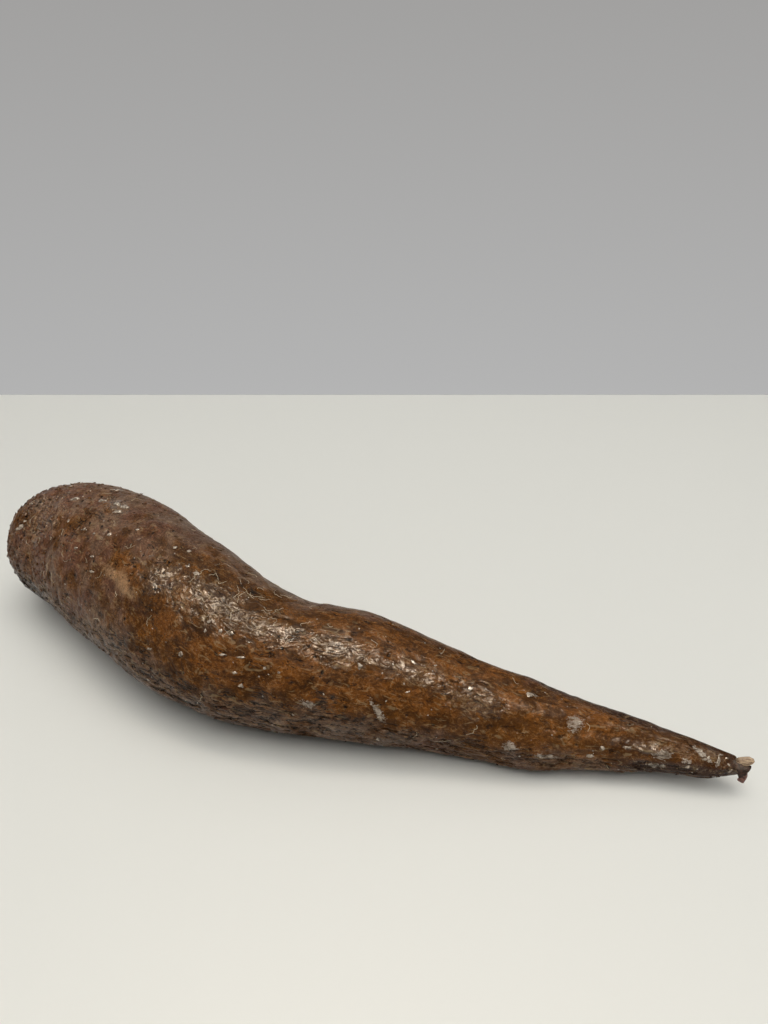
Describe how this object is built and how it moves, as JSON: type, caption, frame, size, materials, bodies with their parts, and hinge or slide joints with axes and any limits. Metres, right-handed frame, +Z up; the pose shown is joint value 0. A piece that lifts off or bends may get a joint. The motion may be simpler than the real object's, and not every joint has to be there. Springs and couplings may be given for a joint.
{
  "type": "cassava root",
  "caption": "Whole cassava root as sold: a thick, gently bent body in waxed brown bark, cut at the neck and tapering to a thin snapped tail. Food, displayed lying on its side.",
  "frame": {"origin": "centre of the bounding box in plan, at the height of the surface that the root rests on", "axes": "+X from the cut neck to the snapped tail, +Y away from the side that bows out, +Z up"},
  "size_m": [0.2846, 0.0798, 0.0566],
  "materials": {
    "waxed_bark": "thin flaky corky bark under a coat of food wax, satin with small glossy spots"
  },
  "bodies": {
    "root": {"cassava_root": "waxed_bark"}
  },
  "joints": []
}
